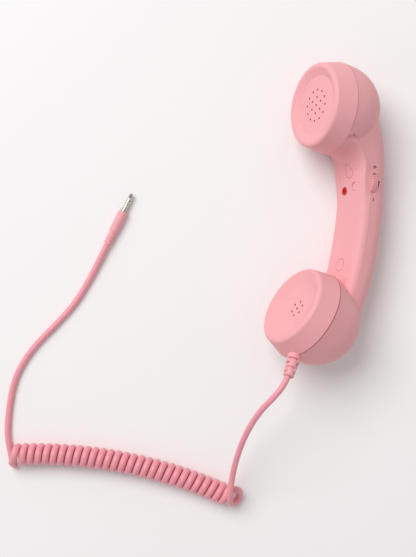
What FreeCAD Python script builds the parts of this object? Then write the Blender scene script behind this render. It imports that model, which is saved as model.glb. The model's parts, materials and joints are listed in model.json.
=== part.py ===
import FreeCAD, Part
import Sketcher
import math
import os
from types import SimpleNamespace

Vector = FreeCAD.Vector
Rotation = FreeCAD.Rotation
Placement = FreeCAD.Placement

# A telephone handset that lies on its side, with a curly cord and a 3.5 mm plug.
# The handset is drawn in its own frame, in millimetres: X along the grip towards the ear end,
# Z out of the ear face, and the origin in the middle of the seam round the ear head.
# It is then laid down on the table, with the long axis along +Y and +Z up.

DRIVING = (
    # the whole handset
    ("wall", 2.0),
    ("parting_gap", 0.1),
    ("head_spacing", 142.4),
    ("head_rise", 1.4),
    ("lay_roll", 28.0),
    ("lay_pitch", -0.3),
    # ear head
    ("ear_seam_radius", 31.6),
    ("ear_dome_depth", 34.0),
    ("ear_nose_inset", 0.6),
    ("ear_collar_height", 14.9),
    ("ear_rim_radius", 29.1),
    ("ear_rim_round", 2.6),
    ("ear_disc_radius", 20.5),
    ("ear_disc_drop", 2.8),
    ("ear_hole_radius", 0.75),
    ("ear_ring_one", 5.5),
    ("ear_ring_two", 10.7),
    # mouth head
    ("mouth_tilt", 23.9),
    ("mouth_seam_radius", 32.3),
    ("mouth_dome_depth", 38.5),
    ("mouth_nose_inset", 2.0),
    ("mouth_cap_height", 15.0),
    ("mouth_rim_radius", 28.9),
    ("mouth_rim_round", 3.0),
    ("mouth_flat_radius", 10.8),
    ("mouth_dish_drop", 5.6),
    ("mouth_hole_radius", 0.8),
    ("mouth_ring", 5.2),
    # grip
    ("grip_half_width", 18.0),
    ("grip_middle", 74.0),
    ("face_depth", 23.1),
    ("face_curve", 235.0),
    ("back_depth", 45.0),
    ("back_curve", 236.0),
    ("face_round", 6.0),
    ("back_round", 12.0),
    ("grip_start", 5.0),
    ("grip_top", 46.0),
    ("grip_end", 150.0),
    # neck between the ear head and the grip
    ("bell_curve", 15.0),
    ("bell_bury", 0.15),
    ("neck_half_width", 27.4),
    ("neck_start", 2.0),
    ("neck_back_round", 26.0),
    ("neck_back_depth", 33.0),
    ("neck_middle", 27.0),
    ("neck_middle_half_width", 20.6),
    ("neck_bury", 0.4),
    # parting line
    ("panel_edge", 5.7),
    ("seam_curve", 42.0),
    ("seam_join", 52.0),
    ("panel_end", 116.0),
    ("panel_corner", 10.0),
    # rooms inside the handset
    ("room_half_width", 14.0),
    ("room_back", 5.0),
    ("room_end", 134.0),
    # case screws and the plugs over them
    ("upper_screw_x", 40.7),
    ("lower_screw_x", 105.6),
    ("upper_screw_face", 20.3),
    ("case_boss_radius", 2.6),
    ("case_pad_radius", 3.6),
    ("case_shank_radius", 1.1),
    ("case_head_radius", 2.1),
    ("case_head_height", 1.4),
    ("case_screw_length", 9.0),
    ("screw_fit", 0.06),
    ("plug_radius", 4.5),
    ("plug_thickness", 1.6),
    ("seat_thickness", 1.5),
    # call button, switch and indicator
    ("button_x", 51.0),
    ("button_y", 5.8),
    ("button_radius", 3.0),
    ("button_recess", 0.35),
    ("button_travel", 0.4),
    ("button_lip", 0.9),
    ("button_lip_height", 0.8),
    ("button_bridge", 1.4),
    ("running_fit", 0.06),
    ("switch_side", 4.5),
    ("switch_height", 0.75),
    ("lens_x", 54.0),
    ("lens_y", 5.6),
    ("lens_radius", 3.0),
    ("lens_lip", 0.6),
    ("led_radius", 1.5),
    ("led_height", 0.6),
    # circuit board
    ("board_back", 26.8),
    ("board_thickness", 1.2),
    ("board_half_width", 12.5),
    ("board_start", 44.6),
    ("board_finish", 90.0),
    ("board_post_radius", 2.0),
    ("board_screw_inset", 3.0),
    ("small_shank_radius", 0.8),
    ("small_head_radius", 1.6),
    ("small_head_height", 1.2),
    # volume wheel
    ("wheel_x", 48.2),
    ("wheel_radius", 9.1),
    ("wheel_proud", 1.8),
    ("wheel_knurl", 0.4),
    ("wheel_front", 27.3),
    ("wheel_thickness", 3.6),
    ("wheel_web", 1.5),
    ("wheel_clear", 0.7),
    ("wheel_slot_length", 15.6),
    ("wheel_slot_depth", 1.0),
    ("pot_radius", 5.0),
    ("pot_shaft_radius", 1.45),
    # speaker
    ("gasket_thickness", 1.0),
    ("speaker_radius", 18.0),
    ("speaker_flange", 0.8),
    ("speaker_depth", 6.5),
    ("magnet_radius", 9.0),
    ("magnet_depth", 5.0),
    ("clamp_circle", 21.3),
    ("clamp_thickness", 0.8),
    # microphone
    ("capsule_radius", 4.85),
    ("capsule_depth", 5.2),
    ("mic_boot_radius", 6.45),
    ("mic_ring_radius", 8.0),
    # cord outlet
    ("outlet_turn", 16.5),
    ("boot_sink", 0.9),
    ("boot_length", 15.0),
    ("boot_band", 3.0),
    ("boot_base_radius", 4.3),
    ("boot_tip_radius", 3.6),
    ("boot_neck_radius", 3.2),
    ("boot_neck_length", 4.2),
    ("boot_flange_radius", 5.0),
    ("boot_flange_thickness", 1.2),
    ("boot_ribs", 5),
    ("rib_groove", 0.3),
    ("outlet_reach", 20.0),
    ("outlet_spare", 2.0),
    ("tie_length", 3.0),
    ("tie_wall", 1.3),
    ("cord_radius", 2.1),
    ("cord_fit", 0.05),
    ("cord_spare", 1.0),
    ("cord_bury", 8.6),
    ("lead_radius", 0.7),
    # curly stretch, which lies on the table in a shallow bow
    ("coil_radius", 5.12),
    ("coil_turns", 31.5),
    ("coil_right_x", -47.6),
    ("coil_right_y", -198.5),
    ("coil_left_x", -199.7),
    ("coil_left_y", -186.1),
    ("coil_bow", 9.0),
    ("coil_end_run", 4.5),
    # plug, which lies on the table
    ("jack_end_x", -151.9),
    ("jack_end_y", -31.1),
    ("jack_turn", 20.1),
    ("jack_tail_radius", 2.95),
    ("jack_tail_length", 9.7),
    ("jack_grip_radius", 3.35),
    ("jack_grip_length", 15.5),
    ("jack_pin_radius", 1.75),
    ("jack_collar_radius", 2.6),
    ("jack_collar_height", 0.7),
    ("jack_sleeve_length", 4.0),
    ("jack_ring_length", 2.2),
    ("jack_band_length", 0.7),
    ("jack_tip_length", 3.5),
)


class Size:
    """A number together with the sheet formula that gives it."""

    def __init__(self, value, formula):
        self.value = value
        self.formula = formula

    def __add__(self, other):
        other = as_size(other)
        return Size(self.value + other.value, f"({self.formula} + {other.formula})")

    def __sub__(self, other):
        other = as_size(other)
        return Size(self.value - other.value, f"({self.formula} - {other.formula})")

    def __rsub__(self, other):
        return as_size(other) - self

    def __mul__(self, other):
        other = as_size(other)
        return Size(self.value * other.value, f"({self.formula} * {other.formula})")

    def __truediv__(self, other):
        other = as_size(other)
        return Size(self.value / other.value, f"({self.formula} / {other.formula})")

    def __neg__(self):
        return Size(-self.value, f"(-1 * {self.formula})")

    __radd__ = __add__


def as_size(number):
    return number if isinstance(number, Size) else Size(float(number), repr(float(number)))


def root(square):
    return Size(math.sqrt(square.value), f"sqrt({square.formula})")


doc = FreeCAD.newDocument("retro_handset")
sheet = doc.addObject("Spreadsheet::Sheet", "sizes")
sheet.Label = "driving dimensions"
for row, (alias, number) in enumerate(DRIVING, start=1):
    sheet.set(f"A{row}", alias)
    sheet.set(f"B{row}", str(number))
    sheet.setAlias(f"B{row}", alias)
doc.recompute()
S = SimpleNamespace(**{alias: Size(number, f"sizes.{alias}") for alias, number in DRIVING})
NODES = []


# Helpers for sketches and features


def bind(item, name, size):
    item.setExpression(name, as_size(size).formula)


def new_body(label):
    body = doc.addObject("PartDesign::Body", label)
    body.Label = label
    return body


def sketch_on(body, role, offset=None):
    sketch = body.newObject("Sketcher::SketchObject", f"{body.Name}_sketch")
    plane = next(item for item in body.Origin.OriginFeatures if item.Role == role)
    sketch.AttachmentSupport = [(plane, "")]
    sketch.MapMode = "FlatFace"
    if offset is not None:
        bind(sketch, "AttachmentOffset.Base.z", offset)
    return sketch


def arc_between(start, end, radius, turn):
    """The arc under half a circle from start to end; turn is 1 for a left bend and -1 for a right one."""
    chord = end - start
    rise = math.sqrt(radius ** 2 - (chord.Length / 2) ** 2)
    left = Vector(-chord.y, chord.x, 0) / chord.Length
    circle = Part.Circle((start + end) / 2 + left * rise * turn, Vector(0, 0, 1), radius)
    first, last = circle.parameter(start), circle.parameter(end)
    if turn < 0:
        first, last = last, first
    return Part.ArcOfCircle(circle, first, last)


def draw(sketch, corners):
    """Close a profile through the corners. (x, y) ends a line, and (x, y, radius, turn) ends an arc."""
    corners = [[as_size(part) for part in corner[:3]] + list(corner[3:]) for corner in corners]
    points = [Vector(corner[0].value, corner[1].value, 0) for corner in corners]
    starts = []
    ends = []
    for number, corner in enumerate(corners):
        start = points[number - 1]
        if len(corner) == 2:
            sketch.addGeometry(Part.LineSegment(start, points[number]), False)
        else:
            sketch.addGeometry(arc_between(start, points[number], corner[2].value, corner[3]), False)
        backwards = len(corner) == 4 and corner[3] < 0
        starts.append(2 if backwards else 1)
        ends.append(1 if backwards else 2)
    for number, corner in enumerate(corners):
        follower = (number + 1) % len(corners)
        join = Sketcher.Constraint("Coincident", number, ends[number], follower, starts[follower])
        sketch.addConstraint(join)
        for axis, kind, line in ((0, "DistanceX", -2), (1, "DistanceY", -1)):
            place = corner[axis]
            if abs(place.value) < 1e-9:
                sketch.addConstraint(Sketcher.Constraint("PointOnObject", number, ends[number], line))
                continue
            rule = Sketcher.Constraint(kind, -1, 1, number, ends[number], place.value)
            index = sketch.addConstraint(rule)
            sketch.setExpression(f"Constraints[{index}]", place.formula)
        if len(corner) == 4:
            index = sketch.addConstraint(Sketcher.Constraint("Radius", number, corner[2].value))
            sketch.setExpression(f"Constraints[{index}]", corner[2].formula)
    return sketch


def revolve(body, corners):
    """Turn a profile of (radius, height) corners about the body's own Z axis."""
    sketch = draw(sketch_on(body, "XZ_Plane"), corners)
    turned = body.newObject("PartDesign::Revolution", f"{body.Name}_turned")
    turned.Profile = sketch
    turned.ReferenceAxis = (sketch, ["V_Axis"])
    turned.Angle = 360
    return body


def pad(body, sketch, length, symmetric=False):
    raised = body.newObject("PartDesign::Pad", f"{body.Name}_pad")
    raised.Profile = sketch
    if symmetric:
        raised.SideType = "Symmetric"
    bind(raised, "Length", length)
    return raised


def round_edges(body, radius, wanted):
    """Round the edges of a body whose middle points satisfy the test."""
    doc.recompute()
    names = []
    for number, edge in enumerate(body.Shape.Edges, start=1):
        middle = edge.valueAt((edge.FirstParameter + edge.LastParameter) / 2)
        if wanted(edge, middle):
            names.append(f"Edge{number}")
    base = body.Tip
    rounded = body.newObject("PartDesign::Fillet", f"{body.Name}_round")
    rounded.Base = (base, names)
    bind(rounded, "Radius", radius)
    doc.recompute()
    return rounded


def dome(label, depth, radius, nose, place=Placement()):
    """A bowl below its rim: a slightly tapered wall that runs tangent into a round nose."""
    body = new_body(label)
    rise = depth - nose
    reach = radius * radius + rise * rise
    wall = root(reach - nose * nose)
    join_x = nose * (radius * nose + rise * wall) / reach
    join_z = nose * (rise * nose - radius * wall) / reach - rise
    revolve(body, [
        (join_x, join_z, nose, 1),
        (radius, 0),
        (0, 0),
        (0, -depth),
    ])
    body.Placement = place
    return body


def cylinder(label, radius, height, place=Placement()):
    item = doc.addObject("Part::Cylinder", label)
    bind(item, "Radius", radius)
    bind(item, "Height", height)
    item.Placement = place
    return item


def cone(label, radius_low, radius_high, height, place=Placement()):
    item = doc.addObject("Part::Cone", label)
    bind(item, "Radius1", radius_low)
    bind(item, "Radius2", radius_high)
    bind(item, "Height", height)
    item.Placement = place
    return item


def block(label, length, width, height, place=Placement()):
    """A box whose middle is on its place in X and Y and whose base is on it in Z."""
    item = doc.addObject("Part::Box", label)
    bind(item, "Length", length)
    bind(item, "Width", width)
    bind(item, "Height", height)
    corner = Vector(-as_size(length).value / 2, -as_size(width).value / 2, 0)
    item.Placement = place * Placement(corner, Rotation())
    return item


def fuse(label, pieces):
    item = doc.addObject("Part::MultiFuse", label)
    item.Shapes = list(pieces)
    return item


def cut(label, base, tools):
    """Take every tool away from the base."""
    tool = tools[0] if len(tools) == 1 else fuse(f"{label}_tools", tools)
    item = doc.addObject("Part::Cut", label)
    item.Base = base
    item.Tool = tool
    return item


def common(label, one, other):
    item = doc.addObject("Part::MultiCommon", label)
    item.Shapes = [one, other]
    return item


def node(label, item, place):
    """Name a finished sub-part and lay it down with the rest."""
    item.Label = label
    item.Placement = place
    NODES.append(item)
    return item


def at(x, y, z):
    """A place in the handset's frame."""
    return Placement(Vector(*[as_size(part).value for part in (x, y, z)]), Rotation())


def post(label, x, y, low, high, radius):
    """An upright cylinder between two levels."""
    return cylinder(label, radius, as_size(high) - low, at(x, y, low))


# Frames and levels

mouth_centre = Vector(-S.head_spacing.value, 0, S.head_rise.value)
mouth_frame = Placement(mouth_centre, Rotation(Vector(0, 1, 0), S.mouth_tilt.value))
outlet_frame = mouth_frame * Placement(Vector(0, 0, 0), Rotation(Vector(0, 0, 1), S.outlet_turn.value))
outlet_frame = outlet_frame * Placement(Vector(0, 0, 0), Rotation(Vector(0, 1, 0), -90))
boot_seat = S.mouth_seam_radius - S.boot_sink
neck_from = boot_seat - S.boot_neck_length
flange_from = neck_from - S.boot_flange_thickness
tie_from = flange_from - S.tie_length
cord_from = tie_from - S.cord_spare
cord_break = boot_seat + S.cord_bury
disc_level = S.ear_collar_height - S.ear_disc_drop
disc_back = disc_level - S.wall
dish_level = S.mouth_cap_height - S.mouth_dish_drop
dish_back = dish_level - S.wall


def arc_drop(curve, reach):
    """How far an arc of the given radius has moved aside after running this far from its lowest point."""
    return curve - root(curve * curve - reach * reach)


def face_level(x, inset=0):
    """Height of the inner face of the grip, which is hollowed lengthwise."""
    return arc_drop(S.face_curve + inset, as_size(x) + S.grip_middle) - S.face_depth - inset


def back_level(x, inset=0):
    return arc_drop(S.back_curve - inset, as_size(x) + S.grip_middle) - S.back_depth + inset


# The outer form of the handset


def bar(label, start, end, half_width, front_inset, back_inset):
    """A length of the grip: two long arcs from the side, and flat flanks."""
    body = new_body(label)
    face = S.face_curve + front_inset
    back = S.back_curve - back_inset
    sketch = draw(sketch_on(body, "XZ_Plane"), [
        (start, face_level(start, front_inset)),
        (-S.grip_middle, -S.face_depth - front_inset, face, -1),
        (end, face_level(end, front_inset), face, -1),
        (end, back_level(end, back_inset)),
        (-S.grip_middle, as_size(back_inset) - S.back_depth, back, 1),
        (start, back_level(start, back_inset), back, 1),
    ])
    pad(body, sketch, half_width * 2, symmetric=True)
    return body


def grip_form():
    body = bar("outer_grip", S.grip_start, -S.grip_end, S.grip_half_width, 0, 0)
    middle_level = -(S.face_depth.value + S.back_depth.value) / 2

    def along(edge, middle):
        run = edge.valueAt(edge.FirstParameter) - edge.valueAt(edge.LastParameter)
        return abs(middle.y) > S.grip_half_width.value - 0.01 and abs(run.x) > 5

    round_edges(body, S.face_round, lambda edge, middle: along(edge, middle) and middle.z > middle_level)
    round_edges(body, S.back_round, lambda edge, middle: along(edge, middle) and middle.z < middle_level)
    return body


def bell_form():
    """The collar's flare: a concave round about the ear axis that runs down into the panel."""
    reach = S.ear_seam_radius + S.bell_curve
    centre = face_level(-reach) - S.bell_bury + S.bell_curve
    return revolve(new_body("outer_bell"), [
        (reach, -S.back_depth),
        (reach, centre - S.bell_curve),
        (S.ear_seam_radius, centre, S.bell_curve, -1),
        (S.ear_seam_radius, 1),
        (0, 1),
        (0, -S.back_depth),
    ])


def neck_section(body, x, half_width, low, bend):
    """A U section across the neck, open side to the front, in the plane at x."""
    return draw(sketch_on(body, "YZ_Plane", x), [
        (-half_width, 0.5),
        (-half_width, low + bend),
        (bend - half_width, low, bend, 1),
        (half_width - bend, low),
        (half_width, low + bend, bend, 1),
        (half_width, 0.5),
    ])


def neck_form():
    """The neck widens from the grip's section to that of the ear dome."""
    body = new_body("outer_neck_loft")
    first = neck_section(body, -S.grip_top, S.grip_half_width - S.neck_bury,
                         back_level(-S.grip_top) + S.neck_bury, S.back_round - S.neck_bury)
    second = neck_section(body, -S.neck_middle, S.neck_middle_half_width, back_level(-S.neck_middle),
                          S.back_round + 2)
    third = neck_section(body, -S.neck_start, S.neck_half_width, -S.neck_back_depth, S.neck_back_round)
    loft = body.newObject("PartDesign::AdditiveLoft", "outer_neck_sweep")
    loft.Profile = first
    loft.Sections = [second, third]
    return body


outer_grip = grip_form()
outer_neck = common("outer_neck", neck_form(), bell_form())
ear_nose = S.ear_seam_radius - S.ear_nose_inset
mouth_nose = S.mouth_seam_radius - S.mouth_nose_inset
outer_ear = dome("outer_ear", S.ear_dome_depth, S.ear_seam_radius, ear_nose)
outer_mouth = dome("outer_mouth", S.mouth_dome_depth, S.mouth_seam_radius, mouth_nose, mouth_frame)


# The rooms inside


def ear_room():
    return revolve(new_body("ear_room"), [
        (S.ear_rim_radius - S.wall - 0.7, disc_back),
        (0, disc_back),
        (0, 8 - S.ear_dome_depth),
        (S.ear_seam_radius * 0.5, 8 - S.ear_dome_depth),
        (S.ear_seam_radius * 0.87, -10),
        (S.ear_seam_radius - S.wall - 0.2, 0),
    ])


def mouth_room():
    inner = S.mouth_seam_radius - S.wall
    body = revolve(new_body("mouth_room"), [
        (inner, 0.5),
        (0, 0.5),
        (0, 7.5 - S.mouth_dome_depth),
        (inner * 0.56, 10 - S.mouth_dome_depth),
        (inner * 0.88, -14),
        (inner, -3),
    ])
    body.Placement = mouth_frame
    return body


rooms = [
    bar("grip_room", -S.neck_start, -S.room_end, S.room_half_width, S.wall, S.room_back),
    ear_room(),
    mouth_room(),
]


# The parting between the front cover and the rear shell


def front_zone(label, gap):
    """All that lies in front of the parting line; gap moves the line back."""
    edge = S.panel_edge + gap
    long_curve = S.face_curve + edge
    lean = (S.grip_middle - S.seam_join) / long_curve
    turn = S.seam_curve + gap
    join = face_level(-S.seam_join, edge)
    turn_x = -S.seam_join - turn * lean
    turn_z = join + turn * root(as_size(1) - lean * lean)
    notch = turn_x + root(turn * turn - (turn_z + gap) * (turn_z + gap))
    end = -S.panel_end - gap
    ahead = S.ear_seam_radius * 2
    side = new_body(f"{label}_side")
    profile = draw(sketch_on(side, "XZ_Plane"), [
        (end, ahead),
        (end, face_level(end, edge)),
        (-S.grip_middle, -S.face_depth - edge, long_curve, 1),
        (-S.seam_join, join, long_curve, 1),
        (notch, -gap, turn, 1),
        (ahead, -gap),
        (ahead, ahead),
    ])
    pad(side, profile, ahead * 2, symmetric=True)
    plan = new_body(f"{label}_plan")
    wide = S.grip_half_width + 0.3
    corner = S.panel_corner + gap
    step = -S.grip_top - 4
    outline = draw(sketch_on(plan, "XY_Plane"), [
        (ahead, -ahead),
        (ahead, ahead),
        (step, ahead),
        (step, wide),
        (end + corner, wide),
        (end, wide - corner, corner, 1),
        (end, corner - wide),
        (end + corner, -wide, corner, 1),
        (step, -wide),
        (step, -ahead),
    ])
    pad(plan, outline, ahead * 4, symmetric=True)
    return common(label, side, plan)


# Levels of the screws, the button and the wheel

SCREWS = (
    ("upper", -S.upper_screw_x, -S.upper_screw_face),
    ("lower", -S.lower_screw_x, face_level(-S.lower_screw_x)),
)
board_front = S.board_thickness - S.board_back
button_face = face_level(-S.button_x)
lens_face = face_level(-S.lens_x)
wheel_y = S.wheel_radius - S.wheel_proud - S.grip_half_width
post_y = S.board_half_width - S.board_screw_inset
BOARD_POSTS = (
    (-S.board_start - S.board_screw_inset, post_y),
    (S.board_screw_inset - S.board_finish, post_y),
    (S.board_screw_inset - S.board_finish, -post_y),
)
CLAMP_ANGLES = (90, 210, 330)


def on_circle(radius, degrees, level):
    angle = math.radians(degrees)
    return at(radius.value * math.cos(angle), radius.value * math.sin(angle), level)


def ring_of_holes(label, radius, ring, count, low, depth):
    """Round holes along Z, evenly spaced on a circle."""
    return [
        cylinder(f"{label}_{number}", radius, depth, on_circle(ring, 360 * number / count, low))
        for number in range(count)
    ]


def wheel_space(label, ahead):
    """The room that the wheel turns in, and the shallow bay round its slot, up to a level ahead of it."""
    low = -S.wheel_front - S.wheel_thickness - S.wheel_clear * 0.7
    high = as_size(ahead) - S.wheel_front
    radius = S.wheel_radius + S.wheel_knurl + S.wheel_clear
    turn = post(f"{label}_wheel_turn", -S.wheel_x, wheel_y, low, high, radius)
    bay = block(f"{label}_wheel_bay", S.wheel_slot_length, S.wheel_slot_depth * 2, high - low,
                at(-S.wheel_x, -S.grip_half_width, low))
    return [turn, bay]


# Front cover: ear collar and face, neck and inner panel, one moulding


def ear_collar():
    lip = S.ear_rim_radius - S.ear_rim_round
    return revolve(new_body("ear_collar"), [
        (S.ear_seam_radius, 0),
        (S.ear_rim_radius, S.ear_collar_height - S.ear_rim_round),
        (lip, S.ear_collar_height, S.ear_rim_round, 1),
        (lip - 0.9, S.ear_collar_height),
        (S.ear_disc_radius, disc_level),
        (0, disc_level),
        (0, 0),
    ])


def case_seats():
    """Pads behind the panel that the heads of the case screws bear on."""
    depth = S.plug_thickness + S.case_head_height + 0.1 + S.seat_thickness
    return [post(f"{name}_pad", x, 0, face - depth, face - 1, S.case_pad_radius) for name, x, face in SCREWS]


def case_recesses():
    tools = []
    for name, x, face in SCREWS:
        floor = face - S.plug_thickness
        bed = floor - S.case_head_height - 0.1
        tools.append(post(f"{name}_plug_recess", x, 0, floor, face + 5, S.plug_radius + S.screw_fit))
        tools.append(post(f"{name}_head_recess", x, 0, bed, floor + 1, S.case_head_radius + 0.2))
        tools.append(post(f"{name}_way", x, 0, bed - 5, bed + 1, S.case_shank_radius + S.screw_fit))
    return tools


def panel_holes():
    button = (-S.button_x, -S.button_y)
    lens = (-S.lens_x, S.lens_y)
    lip = S.button_radius + S.button_lip + 0.3
    return [
        post("button_hole", *button, button_face - 5, button_face + 3, S.button_radius + S.running_fit),
        post("button_pocket", *button, button_face - 5, button_face - S.button_bridge, lip),
        post("lens_hole", *lens, lens_face - 5, lens_face + 3, S.lens_radius + S.screw_fit),
        post("lens_pocket", *lens, lens_face - 5, lens_face - S.wall, S.lens_radius + S.lens_lip + 0.2),
    ]


def front_cover():
    form = fuse("cover_form", [outer_grip, outer_neck, ear_collar()])
    block_ = common("cover_block", form, front_zone("front_zone", as_size(0)))
    clear = S.parting_gap
    mouth_limit = dome("mouth_limit", S.mouth_dome_depth + clear, S.mouth_seam_radius + clear,
                       mouth_nose + clear, mouth_frame)
    shell = cut("cover_shell", block_, rooms + [mouth_limit])
    posts = [post(f"board_post_{number}", x, y, board_front, face_level(x) - 1, S.board_post_radius)
             for number, (x, y) in enumerate(BOARD_POSTS)]
    clamp_level = disc_back - S.gasket_thickness - S.speaker_flange
    for angle in CLAMP_ANGLES:
        place = on_circle(S.clamp_circle, angle, clamp_level)
        posts.append(cylinder(f"clamp_post_{angle}", S.board_post_radius, disc_back - clamp_level + 1, place))
    pilot = S.small_shank_radius + S.screw_fit
    pilots = [post(f"board_pilot_{number}", x, y, board_front - 1, face_level(x) - 1.6, pilot)
              for number, (x, y) in enumerate(BOARD_POSTS)]
    for angle in CLAMP_ANGLES:
        place = on_circle(S.clamp_circle, angle, clamp_level - 1)
        pilots.append(cylinder(f"clamp_pilot_{angle}", pilot, 4, place))
    low = disc_back - 1
    depth = S.wall + 2
    holes = [cylinder("ear_hole", S.ear_hole_radius, depth, at(0, 0, low))]
    holes += ring_of_holes("ear_hole_inner", S.ear_hole_radius, S.ear_ring_one, 6, low, depth)
    holes += ring_of_holes("ear_hole_outer", S.ear_hole_radius, S.ear_ring_two, 12, low, depth)
    whole = fuse("cover_whole", [shell] + case_seats() + posts)
    tools = case_recesses() + panel_holes() + pilots + holes + wheel_space("cover", 0.8)
    return cut("cover_done", whole, tools)


# Rear shell: ear dome, back and sides of the grip and mouth dome, one moulding


def outlet_tools():
    """The way of the cord through the seam of the mouth head, with a seat for the strain relief."""
    way = cylinder("outlet_way", S.boot_neck_radius + S.cord_fit, S.outlet_reach,
                   outlet_frame * at(0, 0, cord_from - S.outlet_spare))
    seat = cylinder("outlet_seat", S.boot_base_radius + S.cord_fit, S.outlet_reach,
                    outlet_frame * at(0, 0, boot_seat))
    return [way, seat]


def rear_shell():
    form = fuse("rear_form", [outer_grip, outer_neck, outer_ear])
    block_ = cut("rear_block", form, [front_zone("rear_limit", S.parting_gap)])
    whole = fuse("rear_whole", [block_, outer_mouth])
    shell = cut("rear_hollow", whole, rooms)
    depth = S.plug_thickness + S.case_head_height + 0.1 + S.seat_thickness + S.parting_gap
    bosses = [post(f"{name}_boss", x, 0, back_level(x) + 2, face - depth, S.case_boss_radius)
              for name, x, face in SCREWS]
    pilot = S.case_shank_radius + S.screw_fit
    pilots = [post(f"{name}_pilot", x, 0, back_level(x) + 4, face - depth + 1, pilot)
              for name, x, face in SCREWS]
    tools = pilots + wheel_space("rear", 3) + outlet_tools()
    return cut("rear_done", fuse("rear_bossed", [shell] + bosses), tools)


# Mouth cap


def mouth_cap():
    lip = S.mouth_seam_radius - S.wall - 0.3
    rim = S.mouth_rim_radius - S.mouth_rim_round
    shoulder = S.mouth_cap_height - S.mouth_rim_round
    middle = (rim + S.mouth_flat_radius) * 0.5
    form = revolve(new_body("cap_form"), [
        (S.mouth_seam_radius, 0),
        (S.mouth_rim_radius, shoulder),
        (rim, S.mouth_cap_height, S.mouth_rim_round, 1),
        (middle, dish_level + S.mouth_dish_drop * 0.32),
        (S.mouth_flat_radius, dish_level),
        (0, dish_level),
        (0, dish_back),
        (S.mouth_flat_radius + 1, dish_back),
        (rim - 1.4, shoulder - 0.6),
        (rim + 0.7, shoulder - 0.6),
        (lip - 1.6, -2.5),
        (lip, -2.5),
        (lip, 0),
    ])
    form.Placement = mouth_frame
    ring = cylinder("mic_ring", S.mic_ring_radius, 4.5, mouth_frame * at(0, 0, dish_back - 4))
    bore = cylinder("mic_bore", S.mic_boot_radius + 0.1, 8, mouth_frame * at(0, 0, dish_back - 8))
    low = dish_back - 1
    depth = S.wall + 2
    holes = [cylinder("mouth_hole", S.mouth_hole_radius, depth, mouth_frame * at(0, 0, low))]
    for number in range(6):
        place = mouth_frame * on_circle(S.mouth_ring, 60 * number, low)
        holes.append(cylinder(f"mouth_hole_{number}", S.mouth_hole_radius, depth, place))
    return cut("cap_done", fuse("cap_ringed", [form, ring]), [bore] + holes + outlet_tools())


# Screws, and the plugs over the case screws


def screw(label, head_radius, head_height, shank_radius, length, place):
    """A screw whose head bears on its place from above, with the shank down."""
    head = cylinder(f"{label}_head", head_radius, head_height, place)
    shank = cylinder(f"{label}_shank", shank_radius, length, place * at(0, 0, -as_size(length)))
    socket = block(f"{label}_slot", as_size(head_radius) * 1.4, 0.5, 0.6,
                   place * at(0, 0, as_size(head_height) - 0.5))
    return cut(f"{label}_cut", fuse(f"{label}_form", [head, shank]), [socket])


UPSIDE_DOWN = Placement(Vector(0, 0, 0), Rotation(Vector(1, 0, 0), 180))


def group(label, items):
    """Loose solids that share one name."""
    item = doc.addObject("Part::Compound", label)
    item.Links = items
    return item


def small_screw(label, length, place):
    return screw(label, S.small_head_radius, S.small_head_height, S.small_shank_radius, length, place)


def case_screws():
    screws = []
    for name, x, face in SCREWS:
        bed = face - S.plug_thickness - S.case_head_height - 0.1
        screws.append(screw(f"{name}_screw", S.case_head_radius, S.case_head_height, S.case_shank_radius,
                            S.case_screw_length, at(x, 0, bed)))
    return group("case_screw_pair", screws)


def screw_plug(name, x, face):
    """A round stopper whose front follows the face round it."""
    stem = post(f"{name}_stopper", x, 0, face - S.plug_thickness, face + 5, S.plug_radius)
    return common(f"{name}_stopper_flush", stem, fuse(f"{name}_round", [outer_grip, outer_neck]))


# Call button, its switch, the indicator and the circuit board


def call_button():
    foot = button_face - S.button_bridge - 0.05 - S.button_lip_height
    place = (-S.button_x, -S.button_y)
    stem = post("button_stem", *place, foot, button_face - S.button_recess, S.button_radius)
    lip = post("button_lip", *place, foot, foot + S.button_lip_height, S.button_radius + S.button_lip)
    return fuse("button_form", [stem, lip])


def call_switch():
    foot = button_face - S.button_bridge - 0.05 - S.button_lip_height
    body = block("switch_body", S.switch_side, S.switch_side, S.switch_height,
                 at(-S.button_x, -S.button_y, board_front))
    stud = post("switch_stud", -S.button_x, -S.button_y, board_front, foot - S.button_travel - 0.05, 1)
    return fuse("switch_form", [body, stud])


def indicator_lens():
    under = lens_face - S.wall - 0.05
    body = post("lens_body", -S.lens_x, S.lens_y, under - 0.5, lens_face + 0.2, S.lens_radius)
    lip = post("lens_lip_ring", -S.lens_x, S.lens_y, under - 0.5, under, S.lens_radius + S.lens_lip)
    return fuse("lens_form", [body, lip])


def indicator_led():
    return post("led_form", -S.lens_x, S.lens_y, board_front, board_front + S.led_height, S.led_radius)


def circuit_board():
    length = S.board_finish - S.board_start
    middle = -(S.board_finish + S.board_start) * 0.5
    plate = block("board_plate", length, S.board_half_width * 2, S.board_thickness,
                  at(middle, 0, -S.board_back))
    hole = S.small_shank_radius + 0.1
    holes = [post(f"board_hole_{number}", x, y, -S.board_back - 1, board_front + 1, hole)
             for number, (x, y) in enumerate(BOARD_POSTS)]
    return cut("board_form", plate, holes)


def board_screws():
    screws = []
    for number, (x, y) in enumerate(BOARD_POSTS):
        length = S.board_thickness + face_level(x) - 2 - board_front
        screws.append(small_screw(f"board_screw_{number}", length, at(x, y, -S.board_back) * UPSIDE_DOWN))
    return group("board_screw_set", screws)


# Volume wheel on its potentiometer

wheel_back = -S.wheel_front - S.wheel_thickness
wheel_floor = wheel_back + S.wheel_web
shaft_end = wheel_floor + 1.7


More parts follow.
